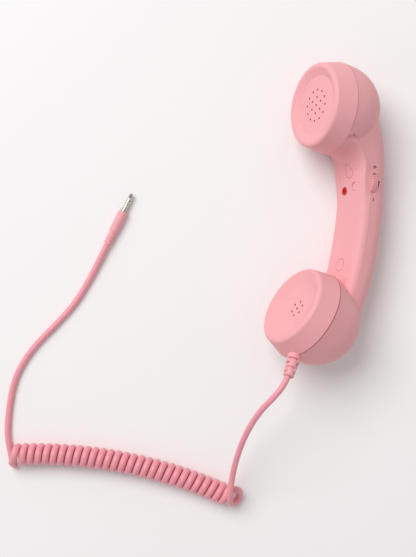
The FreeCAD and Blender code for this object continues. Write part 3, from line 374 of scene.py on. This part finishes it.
def smooth(item):
    item.modifiers.new("smooth", "NODES").node_group = smooth_solid


slots = {part["node"]: part["material_slot"] for part in frame["record"]["subparts"]}
for name, item in nodes.items():
    item.data.materials.clear()
    item.data.materials.append(NODE_LOOKS.get(name, LOOKS[slots[name]]))
    smooth(item)
    weighting = item.modifiers.new("weigh", "WEIGHTED_NORMAL")
    weighting.keep_sharp = True


# Pieces added to the handset


def finished(name, shape, slot):
    """A mesh object on the handset, with the finish of a material slot."""
    mesh = bpy.data.meshes.new(name)
    bmesh.ops.recalc_face_normals(shape, faces=shape.faces)
    shape.to_mesh(mesh)
    shape.free()
    item = bpy.data.objects.new(name, mesh)
    bpy.context.scene.collection.objects.link(item)
    mesh.materials.append(LOOKS[slot])
    smooth(item)
    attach(item, "handset")
    return item


# Cord: one length from the strain relief through the curls to the plug

CORD_RADIUS = 2.1
COIL_SWELL = 1.19
COIL_RADIUS = 5.5
COIL_TURNS = 28.28
TABLE_GAP = 0.03
COIL_LEVEL = COIL_RADIUS + CORD_RADIUS * COIL_SWELL + TABLE_GAP
COIL_RIGHT = Vector((-50, -198.5, COIL_LEVEL))
COIL_LEFT = Vector((-201.3, -186.3, COIL_LEVEL))
COIL_BOW = 9.0
COIL_LOOSE = 2.5
POINTS_PER_TURN = 16
SWELL_LEAD = 6
CORD_BREAK = 40.0
STRAIGHT_OUT = 52.0
CORD_LEVEL = 2.15
OUTLET = Vector((-8.608, -65.839, 33.812))
OUTLET_HEADING = Vector((-0.20965, -0.87432, 0.43772))
PLUG_END = Vector((-151.9, -31.1, 3.35))
PLUG_TURN = math.radians(20.1)
PLUG_STRAIGHT = 10.0
PLUG_HEADING = Vector((math.sin(PLUG_TURN), math.cos(PLUG_TURN), 0))

coil_chord = COIL_LEFT - COIL_RIGHT
coil_out = Vector((coil_chord.y, -coil_chord.x, 0)).normalized()
bow_radius = (coil_chord.length ** 2 / 4 + COIL_BOW ** 2) / (2 * COIL_BOW)
bow_centre = (COIL_RIGHT + COIL_LEFT) / 2 - coil_out * (bow_radius - COIL_BOW)
bow_half_angle = math.asin(coil_chord.length / 2 / bow_radius)


def coil_point(turns):
    """The middle of the wire after so many turns about the bowed axis, drawn out at the far end."""
    slip = COIL_LOOSE * max(0, 1 - 2 * (COIL_TURNS - turns)) ** 2
    swing = bow_half_angle * (2 * turns / COIL_TURNS - 1) + slip / bow_radius
    out = coil_out * math.cos(swing) + coil_chord.normalized() * math.sin(swing)
    angle = 2 * math.pi * turns
    aside = Vector((0, 0, math.cos(angle))) - out * math.sin(angle)
    return bow_centre + out * bow_radius + aside * COIL_RADIUS


handset_route = [
    OUTLET + OUTLET_HEADING * CORD_BREAK,
    OUTLET + OUTLET_HEADING * STRAIGHT_OUT,
    Vector((-27.3, -122.8, 56.5)),
    Vector((-33.5, -131, 52)),
    Vector((-39.4, -143.2, 44)),
    Vector((-44, -158.4, 34)),
    Vector((-46.6, -175, 25)),
    Vector((-47.2, -187, 20.2)),
    Vector((-47.5, -195.5, 19)),
    Vector((-46.8, -202, 14.5)),
    Vector((-44.6, -204.4, 8.5)),
    Vector((-42, -203.8, 4.4)),
    Vector((-40.2, -200.6, 3.6)),
    Vector((-39.9, -196.6, 6.3)),
    Vector((-41, -194, 10.2)),
    Vector((-45.5, -192.8, 12.6)),
    Vector((-49, -194.3, 13)),
]
coil_steps = int(COIL_TURNS * POINTS_PER_TURN)
helix = [coil_point(number / POINTS_PER_TURN) for number in range(coil_steps + 1)]
plug_route = [
    Vector((-200.4, -193.9, 4.8)),
    Vector((-201.2, -195, 2.5)),
    Vector((-203.2, -191.4, CORD_LEVEL)),
    Vector((-205.2, -184.5, CORD_LEVEL)),
    Vector((-207.8, -176, CORD_LEVEL)),
    Vector((-209, -166, CORD_LEVEL)),
    Vector((-209, -152.6, CORD_LEVEL)),
    Vector((-208.2, -138.2, CORD_LEVEL)),
    Vector((-203.9, -123.4, CORD_LEVEL)),
    Vector((-195.3, -108.2, CORD_LEVEL)),
    Vector((-182.7, -92.6, CORD_LEVEL)),
    Vector((-171.1, -77, CORD_LEVEL)),
    Vector((-163, -60.5, CORD_LEVEL)),
    PLUG_END - PLUG_HEADING * PLUG_STRAIGHT,
    PLUG_END,
]


def cord_curve(name, before, coiled, after):
    """One cord through all the points, a little fuller where it is coiled."""
    points = before + coiled + after
    curve = bpy.data.curves.new(name, "CURVE")
    curve.dimensions = "3D"
    curve.bevel_depth = CORD_RADIUS * MM
    curve.bevel_resolution = 5
    curve.resolution_u = 4
    curve.use_fill_caps = True
    spline = curve.splines.new("NURBS")
    spline.points.add(len(points) - 1)
    for number, (knot, point) in enumerate(zip(spline.points, points)):
        knot.co = (*(point * MM), 1)
        from_coil = number - len(before)
        knot.radius = COIL_SWELL if -SWELL_LEAD <= from_coil < len(coiled) else 1
    spline.order_u = 3
    spline.use_endpoint_u = True
    item = bpy.data.objects.new(name, curve)
    bpy.context.scene.collection.objects.link(item)
    item.data.materials.append(LOOKS["cord_pink"])
    return item


cord = cord_curve("curly_cord", handset_route, helix, plug_route)
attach(cord, "handset")
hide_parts("cord_tail_handset", "cord_coil", "cord_tail_plug")


# Strain relief: rings on a thin sleeve, joined by pairs of webs that turn a quarter from gap to gap

BOOT_FROM = 31.2
BOOT_BAND = 34.6
BOOT_TO = 47.4
BOOT_BASE_RADIUS = 4.75
BOOT_TIP_RADIUS = 3.6
BOOT_CORE_RADIUS = 2.75
BOOT_GAPS = 4
BOOT_GAP_SHARE = 0.5
BOOT_SLOPE = 0.22
BOOT_BAND_EDGE = 0.3
BOOT_TIP_ROUND = 0.5
BOOT_COLUMNS = 72
WEB_HALF_ANGLE = math.radians(32)


def boot_radius(along):
    share = (along - BOOT_FROM) / (BOOT_TO - BOOT_FROM)
    return BOOT_BASE_RADIUS + (BOOT_TIP_RADIUS - BOOT_BASE_RADIUS) * share


def boot_rows():
    """Levels along the boot, each with the number of the gap that it lies in, if any."""
    rows = [(BOOT_FROM, None), (BOOT_BAND - BOOT_BAND_EDGE, None)]
    pitch = (BOOT_TO - BOOT_BAND) / BOOT_GAPS
    for number in range(BOOT_GAPS):
        low = BOOT_BAND + pitch * number
        high = low + pitch * BOOT_GAP_SHARE
        rows += [(low, None), (low + BOOT_SLOPE, number)]
        rows += [(high - BOOT_SLOPE, number), (high, None)]
    return rows + [(BOOT_TO - BOOT_TIP_ROUND, None)]


def ribbed_boot():
    """One closed skin: up the outside ring by ring, and back down the bore."""
    turn = OUTLET_HEADING.to_track_quat("Z", "Y")
    shape = bmesh.new()
    rings = []

    def ring(along, radius_at):
        corners = []
        for column in range(BOOT_COLUMNS):
            angle = 2 * math.pi * column / BOOT_COLUMNS
            radius = radius_at(angle)
            corner = Vector((radius * math.cos(angle), radius * math.sin(angle), along))
            corners.append(shape.verts.new((OUTLET + turn @ corner) * MM))
        rings.append(corners)

    ring(BOOT_FROM, lambda angle: CORD_RADIUS)
    for along, gap in boot_rows():
        def outline(angle, along=along, gap=gap):
            if gap is None:
                return boot_radius(along)
            lean = (angle + gap * math.pi / 2) % math.pi
            on_web = min(lean, math.pi - lean) < WEB_HALF_ANGLE
            return boot_radius(along) if on_web else BOOT_CORE_RADIUS
        ring(along, outline)
    ring(BOOT_TO, lambda angle: BOOT_TIP_RADIUS - BOOT_TIP_ROUND)
    ring(BOOT_TO, lambda angle: CORD_RADIUS)
    for lower, upper in zip(rings, rings[1:] + rings[:1]):
        for column in range(BOOT_COLUMNS):
            after = (column + 1) % BOOT_COLUMNS
            shape.faces.new((lower[column], lower[after], upper[after], upper[column]))
    return finished("ribbed_boot", shape, "rubber_pink")


boot = ribbed_boot()
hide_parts("strain_relief")


# Thumbwheel: a thin frame round its slot

WHEEL_X = -48.2
WHEEL_FROM = -30.9
WHEEL_TO = -27.3
BAY_HALF_LENGTH = 8.6
BAY_FROM = -31.9
BAY_TO = -23.9
BAY_COLUMNS = 43
BAY_ROWS = 27
BAY_MARGIN = 0.6
BAY_SKIN = 0.9
SKIN_PROUD = 0.03
SLOT_HALF_LENGTH = 6.9
SLOT_GAP = 0.28
SLOT_ROUND = 1.6
RAY_FROM_Y = -38.0


def housing_hits(start, heading):
    """Where a ray first meets each half of the housing, all in the handset's own axes."""
    origin = in_housing(*start) * MM
    along = HOUSING.to_3x3() @ heading
    for name in ("rear_shell", "front_cover"):
        hit, point, _, _ = nodes[name].ray_cast(origin, along)
        if hit:
            yield HOUSING.inverted() @ (point / MM)


def wall_at(x, z):
    """How far out the side of the handset stands."""
    inward = Vector((0, 1, 0))
    return min(point.y for point in housing_hits(Vector((x, RAY_FROM_Y, z)), inward))


def in_slot(x, z):
    """Whether a point of the side lies in the wheel's slot, a rectangle with round corners."""
    half_height = (WHEEL_TO - WHEEL_FROM) / 2 + SLOT_GAP
    across = max(0, abs(x - WHEEL_X) - SLOT_HALF_LENGTH + SLOT_ROUND)
    upright = max(0, abs(z - (WHEEL_FROM + WHEEL_TO) / 2) - half_height + SLOT_ROUND)
    return math.hypot(across, upright) < SLOT_ROUND


def skin(name, outer, inner, rings, slot):
    """A closed thin piece between two sheets of points, with faces round the given rings of keys."""
    shape = bmesh.new()
    used = {key for ring in rings for key in ring}
    tops = {key: shape.verts.new(in_housing(*outer[key]) * MM) for key in used}
    floors = {key: shape.verts.new(in_housing(*inner[key]) * MM) for key in used}
    sides = {pair for ring in rings for pair in zip(ring, ring[1:] + ring[:1])}
    for ring in rings:
        shape.faces.new([tops[key] for key in ring])
        shape.faces.new([floors[key] for key in reversed(ring)])
    for first, second in sides:
        if (second, first) not in sides:
            shape.faces.new((tops[second], tops[first], floors[first], floors[second]))
    return finished(name, shape, slot)


def grid_rings(rows, columns):
    return [[(row, column), (row, column + 1), (row + 1, column + 1), (row + 1, column)]
            for row in range(rows) for column in range(columns)]


def wheel_bezel():
    """A skin that carries the side of the handset on over the wheel's bay, down to the slot itself."""
    outer = {}
    inner = {}
    for row in range(BAY_ROWS + 1):
        z = BAY_FROM + (BAY_TO - BAY_FROM) * row / BAY_ROWS
        ends = [wall_at(WHEEL_X + side * (BAY_HALF_LENGTH + BAY_MARGIN), z) for side in (-1, 1)]
        for column in range(BAY_COLUMNS + 1):
            share = column / BAY_COLUMNS
            x = WHEEL_X + BAY_HALF_LENGTH * (2 * share - 1)
            y = ends[0] + (ends[1] - ends[0]) * share
            outer[row, column] = (x, y - SKIN_PROUD, z)
            inner[row, column] = (x, y + BAY_SKIN, z)
    rings = []
    for ring in grid_rings(BAY_ROWS, BAY_COLUMNS):
        x, _, z = (sum(parts) / 4 for parts in zip(*(outer[key] for key in ring)))
        if not in_slot(x, z):
            rings.append(ring)
    return skin("wheel_bezel", outer, inner, rings, "shell_pink")


# Neck: the edge of the neck runs out along the grip, and its upper corners are closed

NECK_END = -43.4
BLEND_END = -66.0
STEP_REACH = 0.8
BLEND_ROWS = 30
BLEND_COLUMNS = 18
BLEND_ANGLE = math.radians(64)
EDGE_Y = 11.0
EDGE_BASE = -28.0
EDGE_DROP = 7.0
BLEND_SKIN = 0.8
RAY_LENGTH = 25.0
CORNER_X = -17.7
CORNER_Y = 24.3
CORNER_Z = -1.9
CORNER_RADII = (1.5, 2.6, 2.6)


def outside(x, y, z, heading):
    """How far the surface lies from a point inside the handset, seen from outside."""
    start = Vector((x, y, z)) + heading * RAY_LENGTH
    hits = housing_hits(start, -heading)
    return max([0.0] + [RAY_LENGTH - (point - start).length for point in hits])


def neck_blend(name, side):
    """A taper that carries the edge at the end of the neck over into the round edge of the grip."""
    upright = Vector((0, 0, 1))
    y = side * EDGE_Y

    def edge_level(x):
        return EDGE_BASE + outside(x, y, EDGE_BASE, upright) - EDGE_DROP

    outer = {}
    inner = {}
    end_level = edge_level(NECK_END - 1)
    for column in range(BLEND_COLUMNS + 1):
        angle = BLEND_ANGLE * column / BLEND_COLUMNS
        heading = Vector((0, side * math.sin(angle), math.cos(angle)))
        before = outside(NECK_END + STEP_REACH, y, end_level, heading)
        step = before - outside(NECK_END - STEP_REACH, y, end_level, heading)
        for row in range(BLEND_ROWS + 1):
            share = row / BLEND_ROWS
            x = NECK_END + STEP_REACH + (BLEND_END - NECK_END) * share
            on_grip = min(x, NECK_END - STEP_REACH)
            level = edge_level(on_grip)
            reach = outside(on_grip, y, level, heading)
            fade = 1 - share * share * (3 - 2 * share)
            top = reach + max(step, 0) * fade + SKIN_PROUD * (1 - 2 * share)
            for sheet, height in ((outer, top), (inner, reach - BLEND_SKIN)):
                place = Vector((y, level)) + Vector(heading.yz) * height
                sheet[row, column] = (x, *place)
    return skin(name, outer, inner, grid_rings(BLEND_ROWS, BLEND_COLUMNS), "shell_pink")


def neck_corner(name, side):
    """A rounded fill where the collar, the dome and the neck meet."""
    shape = bmesh.new()
    bmesh.ops.create_icosphere(shape, subdivisions=4, radius=1)
    y = side * CORNER_Y
    around = Matrix.Rotation(math.atan2(y, CORNER_X), 4, "Z")
    form = around @ Matrix.Diagonal((*CORNER_RADII, 1))
    place = HOUSING @ Matrix.Translation((CORNER_X, y, CORNER_Z)) @ form
    bmesh.ops.transform(shape, matrix=Matrix.Scale(MM, 4) @ place, verts=shape.verts)
    return finished(name, shape, "shell_pink")


# Signs: thin shapes on the side wall, placed by X and Z

SIGN_PROUD = 0.06
SIGN_SUNK = 0.1
SIGN_STROKE = 0.55
PLUS_X = -37.2
PLUS_Z = -28.2
PLUS_LENGTH = 2.3
PLUS_ARM = 1.15
PLUS_ARM_OFFSET = 0.85
MINUS_X = -59.3
MINUS_Z = -30.4
MINUS_LENGTH = 2.2
WEDGE = ((-46, -34.3), (-46, -33.1), (-50.6, -33.5), (-50.6, -33.8))


def flat_sign(shape, outline):
    """A printed sign on the side wall, as a thin prism with its outline in X and Z."""
    wall = [(x, wall_at(x, z), z) for x, z in outline]
    front = [shape.verts.new(in_housing(x, y - SIGN_PROUD, z) * MM) for x, y, z in wall]
    back = [shape.verts.new(in_housing(x, y + SIGN_SUNK, z) * MM) for x, y, z in wall]
    shape.faces.new(front)
    shape.faces.new(back)
    for number in range(len(outline)):
        after = (number + 1) % len(outline)
        shape.faces.new((front[number], front[after], back[after], back[number]))


def bar_sign(shape, x, z, length, height):
    corners = ((-1, -1), (1, -1), (1, 1), (-1, 1))
    flat_sign(shape, [(x + a * length / 2, z + b * height / 2) for a, b in corners])


def volume_signs():
    shape = bmesh.new()
    bar_sign(shape, PLUS_X, PLUS_Z, PLUS_LENGTH, SIGN_STROKE)
    for offset in (PLUS_ARM_OFFSET, -PLUS_ARM_OFFSET):
        bar_sign(shape, PLUS_X, PLUS_Z + offset, SIGN_STROKE, PLUS_ARM)
    bar_sign(shape, MINUS_X, MINUS_Z, MINUS_LENGTH, SIGN_STROKE)
    flat_sign(shape, WEDGE)
    return finished("volume_signs", shape, "black_plastic")


bpy.context.view_layer.update()
wheel_bezel()
volume_signs()
for ending, side in (("near", -1), ("far", 1)):
    neck_blend(f"neck_blend_{ending}", side)
    neck_corner(f"neck_corner_{ending}", side)


# Table, light and camera, in metres

TABLE_HALF = 3.0
SKY_COLOUR = (1, 0.99, 0.985, 1)
SKY_STRENGTH = 0.46
KEY_PLACE = Vector((-1.25, 1.02, 2.1))
KEY_AIM = Vector((-0.08, -0.05, 0))
KEY_SIZE = 1.9
KEY_POWER = 46
CAMERA_PLACE = (-0.0785, -0.0482, 0.82)
CAMERA_TURN = math.radians(6.12)
CAMERA_LENS = 74.44
CAMERA_SENSOR = 36


def table():
    mesh = bpy.data.meshes.new("table")
    signs = ((-1, -1), (1, -1), (1, 1), (-1, 1))
    corners = [(x * TABLE_HALF, y * TABLE_HALF, 0) for x, y in signs]
    mesh.from_pydata(corners, [], [(0, 1, 2, 3)])
    item = bpy.data.objects.new("table", mesh)
    bpy.context.scene.collection.objects.link(item)
    look = Look("table_white")
    look.vary_colour(TABLE, 0.99, look.noise(3, 2))
    look.vary_roughness(0.7, 0.8, look.noise(40, 2))
    item.data.materials.append(look.material)
    item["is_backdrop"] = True


def key_light():
    """A large round softbox up and to the left."""
    lamp = bpy.data.lights.new("key", "AREA")
    lamp.shape = "DISK"
    lamp.size = KEY_SIZE
    lamp.energy = KEY_POWER
    item = bpy.data.objects.new("key", lamp)
    item.location = KEY_PLACE
    item.rotation_euler = (KEY_AIM - KEY_PLACE).to_track_quat("-Z", "Y").to_euler()
    bpy.context.scene.collection.objects.link(item)


def sky_light():
    world = bpy.data.worlds.new("studio")
    world.use_nodes = True
    background = world.node_tree.nodes["Background"]
    background.inputs["Color"].default_value = SKY_COLOUR
    background.inputs["Strength"].default_value = SKY_STRENGTH
    bpy.context.scene.world = world


def camera():
    """Straight above the table, turned a little about the vertical as the photograph is."""
    lens = bpy.data.cameras.new("camera")
    lens.sensor_width = CAMERA_SENSOR
    lens.lens = CAMERA_LENS
    item = bpy.data.objects.new("camera", lens)
    item.location = CAMERA_PLACE
    item.rotation_euler = (0, 0, CAMERA_TURN)
    bpy.context.scene.collection.objects.link(item)
    bpy.context.scene.camera = item


table()
sky_light()
key_light()
camera()
bpy.context.scene.view_settings.view_transform = "Standard"

boxes = {"cad": cad_box, "visual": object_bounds()}
{name: [list(corner) for corner in box] for name, box in boxes.items()}
